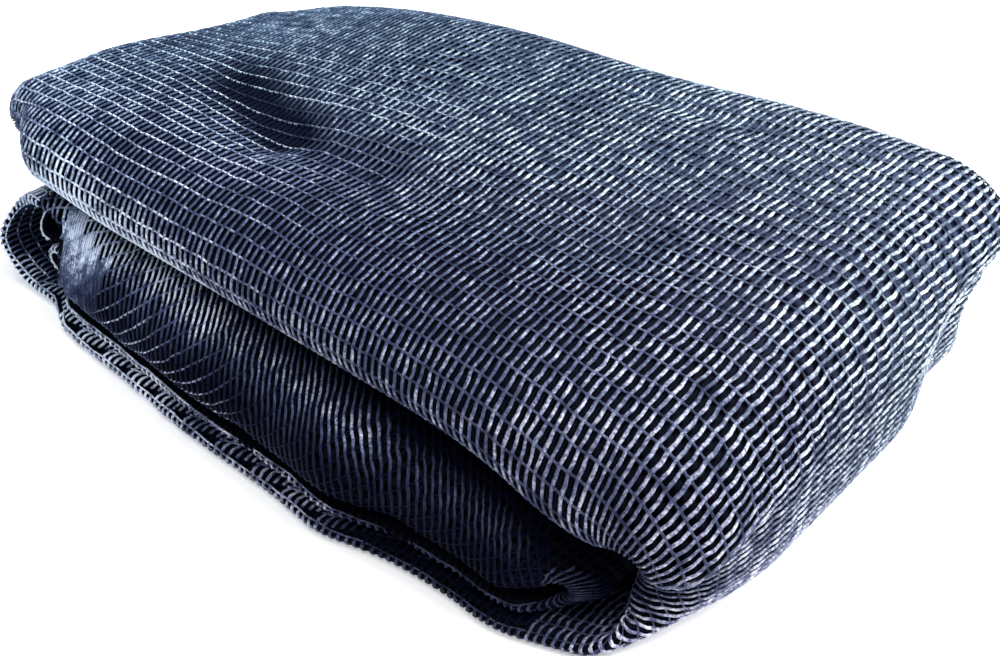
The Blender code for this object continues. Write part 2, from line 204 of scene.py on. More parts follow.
# Where the cross threads and the chains are paler or deeper than their area's own: painted shade in the
# dent, the hollows, the near side and the crevice, painted light on the crest, the lip, the panel and the
# right end.
paintedLightColumns = ("name", "start", "end", "spread", "cross", "chain")
paintedLightRows = (
    ("dent", (-0.112, -0.018, 0.080), (-0.062, -0.036, 0.082), 0.018, -0.52, -0.40),
    ("valley beyond the dent", (-0.062, -0.036, 0.082), (0.000, -0.036, 0.090), 0.012, -0.16, -0.16),
    ("far top", (-0.150, 0.060, 0.080), (-0.020, 0.090, 0.095), 0.050, -0.10, -0.20),
    ("left of the dent", (-0.160, -0.010, 0.075), (-0.110, -0.070, 0.075), 0.034, -0.14, 0.32),
    ("near top", (-0.020, -0.066, 0.090), (0.110, -0.062, 0.090), 0.034, -0.12, -0.10),
    ("right end", (0.180, 0.000, 0.075), (0.180, 0.100, 0.075), 0.040, 0.18, 0.00),
    ("upper lip, left", (-0.180, -0.100, 0.060), (-0.060, -0.104, 0.052), 0.013, 0.85, 0.85),
    ("upper lip", (-0.060, -0.104, 0.052), (0.060, -0.106, 0.050), 0.007, 0.24, 0.10),
    ("pale panel", (-0.132, -0.102, 0.056), (-0.118, -0.108, 0.042), 0.017, 1.30, 0.60),
    ("crest, left", (-0.104, -0.106, 0.048), (-0.030, -0.112, 0.044), 0.010, 0.90, 0.00),
    ("crest", (-0.030, -0.112, 0.044), (0.070, -0.118, 0.042), 0.009, 0.56, 0.00),
    ("crest, right", (0.070, -0.118, 0.042), (0.140, -0.114, 0.036), 0.008, 0.16, 0.00),
    ("front skin, left", (-0.076, -0.124, 0.026), (-0.006, -0.126, 0.022), 0.013, 0.00, 1.10),
    ("foot, left", (-0.170, -0.122, 0.006), (-0.050, -0.132, 0.006), 0.010, 1.10, 1.10),
    ("foot", (-0.050, -0.132, 0.006), (0.055, -0.134, 0.006), 0.010, 0.55, 0.55),
    ("foot, right", (0.085, -0.132, 0.006), (0.150, -0.124, 0.006), 0.012, -0.14, -0.14),
    ("corner's rim", (0.160, -0.100, 0.004), (0.180, -0.092, 0.030), 0.012, -0.30, -0.30),
    ("near corner", (0.190, -0.100, 0.012), (0.196, -0.070, 0.016), 0.016, 0.20, 0.20),
    ("right top", (0.120, -0.040, 0.095), (0.180, 0.020, 0.085), 0.040, -0.06, 0.14),
    ("near side", (-0.100, -0.088, 0.078), (0.100, -0.088, 0.082), 0.020, -0.10, 0.00),
    ("crevice, right", (0.060, -0.096, 0.046), (0.160, -0.090, 0.034), 0.018, -0.18, -0.16),
)


def smoothstep(value, low, high):
    share = np.clip((value - low) / (high - low), 0.0, 1.0)
    return share * share * (3 - 2 * share)


def asRows(columns, table):
    return [dict(zip(columns, row)) for row in table]


def headingOf(index):
    return -1 if index % 2 == 0 else 1


def lengthAlong(line):
    return np.concatenate([[0], np.cumsum(np.linalg.norm(np.diff(line, axis=0), axis=1))])


def directionsOf(path):
    ahead = np.gradient(path, axis=0)
    return ahead / np.linalg.norm(ahead, axis=1)[:, None]


def normalsOf(grid, least=1e-12):
    normals = np.cross(np.gradient(grid, axis=0), np.gradient(grid, axis=1))
    return normals / np.maximum(np.linalg.norm(normals, axis=-1), least)[..., None]


def foldArc(fold, before, after, heading, finer):
    radius = abs(after - before) / 2 + fold["swell"]
    middle = (after + before) / 2
    rise = math.copysign(radius, before - middle)
    centre = fold["end"] - heading * radius
    angles = np.linspace(0, math.pi, int(fold["sections"] * finer))
    flatter = np.where(rise * np.cos(angles) < 0, 1 / fold["square"], 1.0)
    x = centre + heading * radius * np.abs(np.sin(angles)) ** flatter
    z = middle + rise * np.sign(np.cos(angles)) * np.abs(np.cos(angles)) ** flatter
    return x, z, 1 if heading * (after - before) > 0 else -1


def foldShape(fold, inward):
    shape = {key: fold[key] for key in ("thick", "front", "back")}
    return dict(shape, frontShift=inward * fold["frontInward"], backShift=inward * fold["backInward"])


def layerShape(layer, heading):
    shape = {key: layer[key] for key in ("thick", "front", "back", "frontRound")}
    return dict(shape, frontShift=-heading * layer["frontHang"], backShift=-heading * layer["backHang"])


# The band's middle line with its width and hang at each section. A small step lays more sections.
def layBand(step, finer):
    layers, folds = asRows(layerColumns, layerRows), asRows(foldColumns, foldRows)
    levels = [heights[layer["name"]] for layer in layers]
    arcs = [
        foldArc(fold, levels[index], levels[index + 1], headingOf(index), finer)
        for index, fold in enumerate(folds)
    ]
    places, owners = [], []
    for index, layer in enumerate(layers):
        first, last = index == 0, index == len(folds)
        start = bandEnds["upperStart"] if first else arcs[index - 1][0][-1]
        end = bandEnds["lowerEnd"] if last else arcs[index][0][0]
        count = max(bandEnds["leastSections"], round(abs(end - start) / step))
        x = np.linspace(start, end, count + 1)[0 if first else 1:None if last else -1]
        z = np.full_like(x, levels[index])
        if not first:
            away = math.copysign(folds[index - 1]["swell"], levels[index] - levels[index - 1])
            z += away * (1 - smoothstep(np.abs(x - start), 0, bandEnds["swellEase"]))
        if not last:
            away = math.copysign(folds[index]["swell"], levels[index] - levels[index + 1])
            z += away * (1 - smoothstep(np.abs(x - end), 0, bandEnds["swellEase"]))
        places.extend(zip(x, z))
        owners.extend([("layer", index, layer["name"])] * len(x))
        if not last:
            places.extend(zip(arcs[index][0], arcs[index][1]))
            owners.extend([("fold", index, folds[index]["name"])] * len(arcs[index][0]))
    path = np.array(places)
    along = lengthAlong(path)
    spans = []
    for index in range(len(folds)):
        own = [s for s, owner in zip(along, owners) if owner[:2] == ("fold", index)]
        spans.append(((own[0] + own[-1]) / 2, (own[-1] - own[0]) / 2))
    shapes = []
    for s, (kind, index, _) in zip(along, owners):
        nearer = index + 1 if kind == "fold" and s > spans[index][0] else index
        shape = layerShape(layers[nearer], headingOf(nearer))
        for number in (nearer - 1, nearer):
            if 0 <= number < len(folds):
                middle, half = spans[number]
                fold = folds[number]
                ease = fold["easeIn"] if s < middle else fold["easeOut"]
                own = 1 - smoothstep(abs(s - middle), fold["hold"] * half, half + ease)
                for key, value in foldShape(fold, arcs[number][2]).items():
                    shape[key] += own * (value - shape[key])
        shapes.append(shape)
    return path, shapes, [owner[2] for owner in owners]


# One long edge of the band's section, from its tip to where the band runs flat.
def shoulder(edge, shift, side, roundness, count):
    e = edgeShape
    width = e["shoulderWidth"] + roundness * abs(shift)
    curled = smoothstep(abs(shift), 0, e["fullCurlHang"])
    start = e["leastCurve"] - curled * (e["leastCurve"] + e["curlUnder"])
    angles = np.linspace(start, math.pi / 2, count)
    widest = math.cos(max(start, 0))
    across = edge - side * width * (widest - np.cos(angles)) / widest
    alongNormal = shift * (1 - np.sin(angles)) / (1 - np.sin(start))
    return np.stack([across, alongNormal], 1)


def middleLine(shape, shoulderCount, flatCount):
    front = shoulder(shape["front"], shape["frontShift"], -1, shape["frontRound"], shoulderCount)
    back = shoulder(shape["back"], shape["backShift"], 1, edgeShape["backRound"], shoulderCount)[::-1]
    flat = np.linspace(front[-1], back[0], flatCount + 2)[1:-1]
    middle = np.concatenate([front, flat, back])
    tangent = np.gradient(middle, axis=0)
    tangent /= np.linalg.norm(tangent, axis=1)[:, None]
    return middle, tangent, np.stack([-tangent[:, 1], tangent[:, 0]], 1)


def roundTip(middle, tangent, normal, half, thick, side, count):
    angles = np.linspace(-math.pi / 2, math.pi / 2, count + 2)[1:-1]
    reach = side * edgeShape["tip"] * thick
    return np.array([middle + reach * math.cos(a) * tangent + half * math.sin(a) * normal for a in angles])


# The section's front tip, outer face, back tip and inner face, with the faces a little sunk where asked.
def sectionParts(shape, k, sunk=0.0):
    middle, tangent, normal = middleLine(shape, k["shoulderCount"], k["flatCount"])
    half, thick = shape["thick"] / 2 - sunk, shape["thick"] - 2 * sunk
    frontTip = roundTip(middle[0], tangent[0], normal[0], half, thick, -1, k["tipCount"])
    backTip = roundTip(middle[-1], tangent[-1], normal[-1], half, thick, 1, k["tipCount"])
    return frontTip, middle + half * normal, backTip, middle - half * normal


def inSpace(outline, place, ahead):
    x = place[0] - ahead[1] * outline[:, 1]
    z = place[1] + ahead[0] * outline[:, 1]
    return np.stack([x, outline[:, 0], z], 1)


def swelling(row, x, y):
    turn = math.radians(row["turned"])
    across = (x - row["x"]) * math.cos(turn) + (y - row["y"]) * math.sin(turn)
    up = (y - row["y"]) * math.cos(turn) - (x - row["x"]) * math.sin(turn)
    return np.exp(-((across / row["spreadX"]) ** 2) - (up / row["spreadY"]) ** 2)


# The stack as it really lies, pressed and flared.
def pressed(points):
    p = pressing
    x, y, z = points[..., 0], points[..., 1], points[..., 2]
    along = {"x": x, "y": y, "z": z}
    ramp = {name: smoothstep(along[axis], begins, full) for name, (axis, begins, full) in ramps.items()}
    upper, above = ramp["upperPack"], ramp["aboveCrevice"]
    drop = p["lowerDrop"] * np.clip(z / creviceFloor, 0, 1)
    opened = (above * (p["lowerDrop"] - p["frontSink"]) - drop) * ramp["frontEdge"]
    opened += (above * (p["lowerDrop"] + p["backRise"]) - drop) * ramp["backEdge"]
    sagging = sag["depth"] * swelling(sag, x, y)
    sagging *= np.interp(z, (sag["starts"], sag["most"], sag["fades"]), (0.0, 1.0, 0.0))
    z = z + ramp["openCrevice"] * opened - sagging
    flare = p["lowerFlare"] + (p["upperFlare"] - p["lowerFlare"]) * upper
    taper = p["leftTaperLow"] + (p["leftTaperHigh"] - p["leftTaperLow"]) * ramp["highTaper"]
    narrower = taper * ramp["leftTaper"]
    narrower += p["frontTaper"] * ramp["frontTaper"] * ramp["frontSide"]
    narrower += p["nearCornerTaper"] * ramp["cornerTaper"] * ramp["cornerSide"]
    y = (y + flare * x * ramp["flare"]) * (1 - narrower * (1 - above))
    for row in asRows(waveColumns, waveRows):
        wave = row["reach"] * np.exp(-(((x - row["x"]) / row["spread"]) ** 2))
        y = y - wave * ramp["frontSide"] * (1 - above)
    cut = p["waistCut"] * ramp["backHalf"] * ramp["belowWaist"]
    cut += p["nearCornerCut"] * ramp["nearHalf"] * (1 - above)
    x = x - cut * ramp["rightEnd"] + p["farCornerCut"] * ramp["leftEnd"] * ramp["farSide"] * above
    height = np.ones_like(z)
    for row in asRows(swellingColumns, swellingRows):
        share = row["lowerShare"] + (row["upperShare"] - row["lowerShare"]) * upper
        height += share * swelling(row, x, y)
    return np.stack([x, y, z * height], -1) + p["centring"]


# The sum of soft lines at each point. Each is strongest on its own line and fades with its spread.
def alongLines(points, lines, value):
    total = np.zeros(points.shape[:-1])
    for row in lines:
        start, end = np.array(row["start"]), np.array(row["end"])
        way = end - start
        share = np.clip((points - start) @ way / (way @ way), 0, 1)
        apart = np.linalg.norm(points - start - share[..., None] * way, axis=-1)
        total += row[value] * np.exp(-((apart / row["spread"]) ** 2))
    return total


def creaseHeight(points):
    return alongLines(points, asRows(creaseColumns, creaseRows), "height")


# The face of the whole band as an even grid, along its length by across its width. At both long edges it
# goes round to the inner face.
skinSettings = dict(
    step=0.0016, finer=3, shoulderCount=13, flatCount=36, tipCount=5, roundCount=4, innerCount=20,
    widest=0.190, acrossStep=0.0012,
)


def bandSkin():
    k = skinSettings
    path, shapes, owners = layBand(k["step"], k["finer"])
    ahead = directionsOf(path)
    across = np.arange(-k["widest"], k["widest"] + k["acrossStep"] / 2, k["acrossStep"])
    points, lows, highs, centres = [], [], [], []
    for shape, place, way in zip(shapes, path, ahead):
        half = shape["thick"] / 2
        frontTip, outer, backTip, inner = sectionParts(shape, k)
        n, m = k["roundCount"], k["innerCount"]
        line = np.concatenate([inner[m:0:-1], frontTip, outer, backTip[::-1], inner[-2:-m - 2:-1]])
        length = lengthAlong(line)
        first = m + k["tipCount"]
        outerPart = slice(first, first + len(outer))
        length -= np.interp(0, line[outerPart, 0], length[outerPart])
        space = inSpace(line, place, way)
        points.append(np.stack([np.interp(across, length, space[:, axis]) for axis in range(3)], 1))
        lows.append(length[m - n])
        highs.append(length[n - m - 1])
        centres.append((place[0] - way[1] * half, place[1] + way[0] * half))
    points = pressed(np.array(points))
    normals = normalsOf(points)
    lows, highs = np.array(lows), np.array(highs)
    creased = (across > lows[:, None]) & (across < highs[:, None])
    points += normals * (creaseHeight(points) * creased)[..., None]
    return dict(
        along=lengthAlong(np.array(centres)), across=across, points=points, normals=normals,
        low=lows, high=highs, owners=np.array(owners),
    )


def skinAt(skin, s, r):
    row = np.interp(s, skin["along"], np.arange(len(skin["along"])))
    column = (r - skin["across"][0]) / skinSettings["acrossStep"]
    i = np.clip(row.astype(int), 0, len(skin["along"]) - 2)
    j = np.clip(column.astype(int), 0, len(skin["across"]) - 2)
    a, b = (row - i)[..., None], (column - j)[..., None]

    def blended(grid):
        near = grid[i, j] * (1 - b) + grid[i, j + 1] * b
        far = grid[i + 1, j] * (1 - b) + grid[i + 1, j + 1] * b
        return near * (1 - a) + far * a

    normal = blended(skin["normals"])
    return blended(skin["points"]), normal / np.linalg.norm(normal, axis=-1)[..., None]


skin = bandSkin()
print("the band's skin is laid:", skin["points"].shape)

# The thin sheet under the threads, which follows the solid's folds a little inside it.
sheetSettings = dict(
    step=0.0060, finer=1.6, shoulderCount=9, flatCount=20, tipCount=3, sunk=0.0011, flat=(0.2, 3.3),
)


def sheetRings():
    k = sheetSettings
    path, shapes, _ = layBand(k["step"], k["finer"])
    rings, widths = [], []
    for shape, place, way in zip(shapes, path, directionsOf(path)):
        frontTip, outer, backTip, inner = sectionParts(shape, k, k["sunk"])
        ring = np.concatenate([outer, backTip[::-1], inner[::-1], frontTip])
        length = lengthAlong(ring)
        widths.append(length - np.interp(0, outer[:, 0], length[:len(outer)]))
        rings.append(inSpace(ring, place, way))
    outerCount = 2 * k["shoulderCount"] + k["flatCount"]
    points = pressed(np.array(rings))
    outerSide = np.zeros(points.shape[1])
    outerSide[:outerCount] = 1
    points += normalsOf(points) * (creaseHeight(points) * outerSide)[..., None]
    return points, lengthAlong(path), np.array(widths), outerCount


def buildSheet():
    points, along, widths, outerCount = sheetRings()
    rowCount, ringCount = points.shape[:2]
    mesh = bmesh.new()
    loops = [[mesh.verts.new(point) for point in ring] for ring in points]
    spread = mesh.loops.layers.uv.new("weave")
    for i in range(rowCount - 1):
        for j in range(ringCount):
            after = (j + 1) % ringCount
            face = mesh.faces.new((loops[i][j], loops[i + 1][j], loops[i + 1][after], loops[i][after]))
            last = widths[i][after] if after else 2 * widths[i][j] - widths[i][j - 1]
            places = (
                (along[i], widths[i][j]), (along[i + 1], widths[i + 1][j]),
                (along[i + 1], last), (along[i], last),
            )
            for corner, place in zip(face.loops, places):
                corner[spread].uv = place
    for ring, flipped in ((loops[0], False), (loops[-1], True)):
        closeEnd(mesh, ring, outerCount, flipped)
    bmesh.ops.recalc_face_normals(mesh, faces=mesh.faces)
    data = bpy.data.meshes.new("net_sheet")
    mesh.to_mesh(data)
    mesh.free()
    data.shade_smooth()
    piece = bpy.data.objects.new("net_sheet", data)
    bpy.context.collection.objects.link(piece)
    return piece


# The band's cut end is filled between its two faces.
def closeEnd(mesh, ring, outerCount, flipped):
    tips = sheetSettings["tipCount"]
    outer = ring[:outerCount]
    inner = ring[outerCount + tips:2 * outerCount + tips][::-1]
    backTip, frontTip = ring[outerCount:outerCount + tips], ring[2 * outerCount + tips:]
    faces = [(outer[n], outer[n + 1], inner[n + 1], inner[n]) for n in range(outerCount - 1)]
    faces.append([outer[-1], *backTip, inner[-1]])
    faces.append([inner[0], *frontTip, outer[0]])
    for face in faces:
        mesh.faces.new(face[::-1] if flipped else face)


sheet = buildSheet()
print("the sheet has", len(sheet.data.polygons), "faces")

# One stitch of the knitted net: a bowed cross thread and a link of the chain that runs along the net.
stitchSettings = dict(
    crossPitch=0.00365, chainPitch=0.0074,
    threadWidth=0.0015, threadHeight=0.0010, threadSides=5, threadBow=0.00022, bows=(1, 1, -1, -1),
    chainWidth=0.0008, chainHeight=0.0008, chainSides=5, knotSwell=1.6,
    endWithin=1e-6, mergeWithin=2e-6, mostHoleSides=8, orderDigits=7,
)


# The faces that close a thread's two ends are selected. Only they have more than four corners.
def selectEnds(axis, length):
    bpy.ops.object.mode_set(mode="OBJECT")
    for face in bpy.context.object.data.polygons:
        apart = min(abs(face.center[axis]), abs(face.center[axis] - length))
        face.select = len(face.vertices) > 4 and apart < stitchSettings["endWithin"]
    bpy.ops.object.mode_set(mode="EDIT")


# A thread starts as a flat disc one unit wide, which gets the size of the thread's section.
def startThread(name, sides, place, turn, size):
    bpy.ops.mesh.primitive_circle_add(
        vertices=sides, radius=0.5, fill_type="NGON", location=place, rotation=turn, scale=(1, 1, 1),
    )
    thread = bpy.context.object
    thread.name = name
    thread.scale = size
    bpy.ops.object.transform_apply(location=True, rotation=True, scale=True)
    bpy.ops.object.mode_set(mode="EDIT")
    bpy.ops.mesh.select_mode(type="FACE")
    bpy.ops.mesh.select_all(action="SELECT")


def finishThread(axis, length):
    bpy.ops.mesh.select_all(action="SELECT")
    bpy.ops.mesh.normals_make_consistent(inside=False)
    selectEnds(axis, length)
    bpy.ops.mesh.delete(type="ONLY_FACE")
    bpy.ops.object.mode_set(mode="OBJECT")


# Extruding leaves corners and faces in an order that can change, so they are put in order by their places.
def inOrder(corners, faces):
    order = np.lexsort(np.round(corners, stitchSettings["orderDigits"]).T)
    faces = np.argsort(order)[faces]
    return corners[order], faces[np.lexsort(faces.T)]


def modelStitch():
    k = stitchSettings
    quarter = math.pi / 2
    middle = k["crossPitch"] / 2
    size = (k["threadWidth"], k["threadHeight"], 1)
    startThread("cross thread", k["threadSides"], (middle, 0, 0), (quarter, 0, 0), size)
    for bow in k["bows"]:
        way = (bow * k["threadBow"], k["chainPitch"] / len(k["bows"]), bow * k["threadBow"] / 2)
        bpy.ops.mesh.extrude_region_move(TRANSFORM_OT_translate={"value": way})
    finishThread(1, k["chainPitch"])
    crossThread = bpy.context.object
    size = (k["chainHeight"], k["chainWidth"], 1)
    startThread("chain link", k["chainSides"], (0, 0, 0), (0, quarter, 0), size)
    growths = (k["knotSwell"], 1, 1 / k["knotSwell"])
    for growth in growths:
        way = (k["crossPitch"] / len(growths), 0, 0)
        bpy.ops.mesh.extrude_region_move(TRANSFORM_OT_translate={"value": way})
        if growth != 1:
            bpy.ops.transform.resize(value=(1, growth, growth), center_override=(0, 0, 0))
    finishThread(0, k["crossPitch"])
    chain = bpy.context.object
    bpy.ops.object.select_all(action="DESELECT")
    parts = []
    for thread in (crossThread, chain):
        corners = np.array([corner.co[:] for corner in thread.data.vertices])
        faces = np.array([list(face.vertices) for face in thread.data.polygons])
        parts.append(inOrder(corners, faces))
        bpy.data.objects.remove(thread)
    return parts


stitch = modelStitch()
print("one stitch has", sum(len(faces) for _, faces in stitch), "faces")

# Where threads are laid. All is a stretch's whole outer face, front and back are strips of it that reach in
# from that edge, in front from inset on, and inside is the band's other face, as far in as reach. From and
# until limit them along X. Skew slants the chains, lean sets the cross threads back along X, and beside
# moves a second mesh by a share of the pitch. Without a chain tone there are no chains.
# An area's tone sets how pale its threads are; the low tones of the front, the panel and the crevice are
# painted shade.
areaColumns = (
    "piece", "over", "side", "inset", "reach", "from", "until",
    "skew", "lean", "beside", "tone", "chainTone",
)
areaRows = (
    ("threads_left", ("nose",), "all", 0, 0, -1, 1, 0, 0, 0, 0.50, 0.05),
    ("threads_top_left", ("top",), "all", 0, 0, -1, 0, 0, 0, 0, 0.46, 0.02),
    ("threads_top_right", ("top",), "all", 0, 0, 0, 1, 0, 0, 0, 0.54, -0.30),
    ("threads_right", ("outer bight",), "all", 0, 0, -1, 1, 0, 0, 0, 0.55, -0.36),
    ("threads_right", ("outer bight",), "front inside", 0, 0.040, -1, 1, 0, 0, 0, 0.48, -0.20),
    ("threads_right", ("outer bight",), "back inside", 0, 0.030, -1, 1, 0, 0, 0, 0.30, -0.08),
    ("threads_front", ("lower top",), "front", 0, 0.085, -1, 1, 0.78, 0.9, 0, 0.02, -0.04),
    ("threads_front", ("lower nose",), "front", 0, 0.040, -1, 1, 0, 0, 0, 0.20, -0.10),
    ("threads_panel", ("lower top",), "front", 0.018, 0.060, -0.150, -0.090, 0.78, 0.9, 0.5, 0.10, None),
    ("threads_back", ("lower top",), "back", 0, 0.062, -1, 1, 0, 0, 0, 0.42, -0.20),
    ("threads_foot", ("bottom",), "front", 0, 0.034, -1, 1, 0, 0, 0, 0.30, 0.00),
    ("threads_foot", ("bottom",), "front inside", 0, 0.042, -1, 1, 0.35, 0, 0, 0.10, 0.04),
    ("threads_heel", ("bottom",), "back", 0, 0.030, -1, 1, 0, 0, 0, 0.42, -0.20),
    ("threads_heel", ("bottom",), "back inside", 0, 0.045, -1, 1, 0, 0, 0, 0.30, -0.10),
    ("threads_loop", ("outer loop",), "all", 0, 0, -1, 1, 0, 0, 0, 0.90, 0.20),
    ("threads_loop", ("outer loop",), "front inside", 0, 0.024, -1, 1, 0, 0, 0, 0.16, 0.10),
    ("threads_loop", ("outer loop",), "back inside", 0, 0.024, -1, 1, 0, 0, 0, 0.30, 0.00),
    ("threads_crevice", ("upper floor",), "front", 0, 0.030, -1, 1, 0, 0, 0, 0.10, 0.00),
    ("threads_crevice", ("upper floor",), "back", 0, 0.030, -1, 1, 0, 0, 0, 0.25, 0.00),
    ("threads_rolls", ("first roll", "second roll"), "front", 0, 0.030, -1, 1, 0, 0, 0, 1.15, 0.10),
    ("threads_rolls", ("first roll", "second roll"), "back", 0, 0.020, -1, 1, 0, 0, 0, 0.40, 0.00),
    ("threads_rolls", ("lower first",), "front", 0, 0.026, -1, 1, 0, 0, 0, 0.26, 0.00),
    ("threads_rolls", ("lower second",), "front", 0, 0.024, -1, -0.08, 0, 0, 0, 0.50, 0.00),
)
# The threads lie a little sunk in the skin, the chains more, and stray softly from the even grid.
laySettings = dict(
    sunk=0.00035, chainSunk=0.00025, edgeMargin=0.0006,
    wobble=0.00055, waver=0.00045, wobbleCells=1.7, finerAcross=2, wander=0.0016, wanderCells=12,
)
# How the tone of the threads varies. Chains stand out most at the near left, each by a share of its own.
toneSettings = dict(
    patches=0.04, patchCells=6, speckle=0.62, dashPeak=1.14, dashDip=0.42,
    chainBoost=0.90, chainShare=1.2, chainSwing=1.4, chainStride=3.1,
    boostX=(0.03, -0.10), boostY=(0.05, -0.01),
)
noiseSettings = dict(
    seed=11, size=97, shiftA=13.7, shiftB=7.3,
    layers=("wobble", "waver", "speckle", "patches", "own chain", "wander across", "wander along"),
)
tableSize = noiseSettings["size"]
noiseTable = np.random.RandomState(noiseSettings["seed"]).rand(tableSize, tableSize)


# A value between -1 and 1 that changes softly from cell to cell, in each layer in its own way.
def softNoise(a, b, name):
    layer = noiseSettings["layers"].index(name) + 1
    a, b = a + noiseSettings["shiftA"] * layer, b + noiseSettings["shiftB"] * layer
    i, j = np.floor(a).astype(int), np.floor(b).astype(int)
    x, y = a - i, b - j
    x, y = x * x * (3 - 2 * x), y * y * (3 - 2 * y)
    table, size = noiseTable, tableSize
    near = table[i % size, j % size] * (1 - y) + table[i % size, (j + 1) % size] * y
    far = table[(i + 1) % size, j % size] * (1 - y) + table[(i + 1) % size, (j + 1) % size] * y
    return 2 * (near * (1 - x) + far * x) - 1


def stretchOf(skin, names):
    own = np.isin(skin["owners"], names)
    stretches, inside = [], False
    for index, mine in enumerate(own):
        if mine and not inside:
            stretches.append([index, index])
        if mine:
            stretches[-1][1] = index
        inside = mine
    return [(skin["along"][a], skin["along"][min(b + 1, len(own) - 1)]) for a, b in stretches]


def sideFits(area, r, low, high):
    margin, pitch = laySettings["edgeMargin"], stitchSettings["chainPitch"]
    if area["side"] == "front inside":
        return (r > low - area["reach"]) & (r < low + pitch)
    if area["side"] == "back inside":
        return (r < high + area["reach"]) & (r > high - pitch)
    fits = (r > low + margin) & (r < high - margin)
    if area["side"] == "front":
        fits &= (r > low + area["inset"]) & (r < low + area["reach"])
    if area["side"] == "back":
        fits &= r > high - area["reach"]
    return fits


# The cells of the knitted grid whose four corners all lie on the part of the skin that is named.
def cellsOf(skin, area):
    k = stitchSettings
    found = []
    for start, end in stretchOf(skin, area["over"]):
        first, last = (math.ceil(edge / k["crossPitch"] - 0.5) for edge in (start, end))
        rows = np.arange(first, last)
        middle = (start + end) / 2
        slide = abs(area["skew"]) * (end - start) / 2
        most = int((skinSettings["widest"] + slide) / k["chainPitch"]) + 1
        columns = np.arange(-most, most)
        u, v = np.meshgrid(rows, columns, indexing="ij")
        fits = np.ones(u.shape, bool)
        for du in (0, 1):
            for dv in (0, 1):
                s, r = laidOut(skin, area, middle, (u + du) * k["crossPitch"], (v + dv) * k["chainPitch"])
                low, high = (np.interp(s, skin["along"], skin[key]) for key in ("low", "high"))
                fits &= sideFits(area, r, low, high)
        u, v = u[fits], v[fits]
        s, r = laidOut(skin, area, middle, (u + 0.5) * k["crossPitch"], (v + 0.5) * k["chainPitch"])
        place = skinAt(skin, s, r)[0][..., 0]
        fits = (place >= area["from"]) & (place < area["until"])
        found.append((u[fits], v[fits], middle))
    return found


# Where a place of the even knitted grid comes to lie on the skin, along its length and across.
def laidOut(skin, area, middle, s, across):
    s = s + area["beside"] * stitchSettings["crossPitch"]
    r = across + area["skew"] * (s - middle)
    if area["lean"]:
        edge = np.interp(s, skin["along"], skin["low"])
        s = s - area["lean"] * (skinAt(skin, s, r)[0][..., 1] - skinAt(skin, s, edge)[0][..., 1])
    return s, r


# How pale each corner of a thread is: its area's tone, random patches and speckle, and the painted shade
# and painted light of the lines. A cross thread is paler between two chains than where they bind it.
def toneOf(area, isChain, shape, place, v, a, b):
    t = toneSettings
    tone = area["tone"] + t["patches"] * softNoise(a / t["patchCells"], b / t["patchCells"], "patches")
    tone = tone + alongLines(place, asRows(paintedLightColumns, paintedLightRows), "chain" if isChain else "cross")
    if isChain:
        ownChain = softNoise(v[:, None] * t["chainStride"] + 0 * a, 0 * a, "own chain")
        near = smoothstep(place[..., 0], *t["boostX"]) * smoothstep(place[..., 1], *t["boostY"])
        own = t["chainShare"] + t["chainSwing"] * ownChain
        tone = tone + area["chainTone"] + area["tone"] * t["chainBoost"] * near * own
    else:
        # painted shade on a cross thread where the chains bind it
        fromMiddle = 2 * np.abs(shape[None, :, 1] / stitchSettings["chainPitch"] - 0.5)
        tone = tone * (t["dashPeak"] - t["dashDip"] * fromMiddle ** 2)
    cells = laySettings["wobbleCells"]
    return tone * (1 + t["speckle"] * softNoise(a * cells, b * cells, "speckle"))


def layThreads(skin, area):
    k, lay = stitchSettings, laySettings
    corners, faces, tones, count = [], [], [], 0
    for u, v, middle in cellsOf(skin, area):
        for isChain, (shape, quads) in enumerate(stitch):
            if isChain and area["chainTone"] is None:
                continue
            s = u[:, None] * k["crossPitch"] + shape[None, :, 0]
            across = v[:, None] * k["chainPitch"] + shape[None, :, 1]
            a = s / k["crossPitch"] / lay["wobbleCells"]
            b = across / k["chainPitch"] / lay["wobbleCells"] * lay["finerAcross"]
            c, d = (value * lay["wobbleCells"] / lay["wanderCells"] for value in (a, b))
            s, r = laidOut(skin, area, middle, s, across)
            r = r + lay["waver"] * softNoise(a, b, "waver")
            r = r + lay["wander"] * softNoise(c, d, "wander across")
            s = s + lay["wobble"] * softNoise(a, b, "wobble")
            s = s + lay["wander"] * softNoise(c, d, "wander along")
            place, normal = skinAt(skin, s, r)
            sunk = lay["sunk"] + lay["chainSunk"] * isChain
            place = place + normal * (shape[None, :, 2:3] - sunk)
            place[..., 2] = np.maximum(place[..., 2], 0)
            corners.append(place.reshape(-1, 3))
            start = count + np.arange(len(u))[:, None, None] * len(shape)
            faces.append((quads[None] + start).reshape(-1, 4))
            count += len(u) * len(shape)
            tones.append(toneOf(area, isChain, shape, place, v, a, b).reshape(-1))
    return np.concatenate(corners), np.concatenate(faces), np.concatenate(tones)


# One mesh for each piece: its threads are joined end to end, and their open ends are closed.
def buildThreads(name, areas):
    corners, faces, tones, count = [], [], [], 0
    for area in areas:
        ownCorners, ownFaces, ownTones = layThreads(skin, area)
        corners.append(ownCorners)
        faces.append(ownFaces + count)
        tones.append(ownTones)
        count += len(ownCorners)
    data = bpy.data.meshes.new(name)
    data.from_pydata(np.concatenate(corners).tolist(), [], np.concatenate(faces).tolist())
    toneData = data.attributes.new("tone", "FLOAT", "POINT").data
    toneData.foreach_set("value", np.concatenate(tones).astype(np.float32))
    piece = bpy.data.objects.new(name, data)
    bpy.context.collection.objects.link(piece)
    bpy.ops.object.select_all(action="DESELECT")
    piece.select_set(True)
    bpy.context.view_layer.objects.active = piece
    bpy.ops.object.mode_set(mode="EDIT")
    bpy.ops.mesh.select_all(action="SELECT")
    bpy.ops.mesh.remove_doubles(threshold=stitchSettings["mergeWithin"])
    bpy.ops.mesh.fill_holes(sides=stitchSettings["mostHoleSides"])
    bpy.ops.object.mode_set(mode="OBJECT")
    piece.select_set(False)
    data.shade_smooth()
    return piece


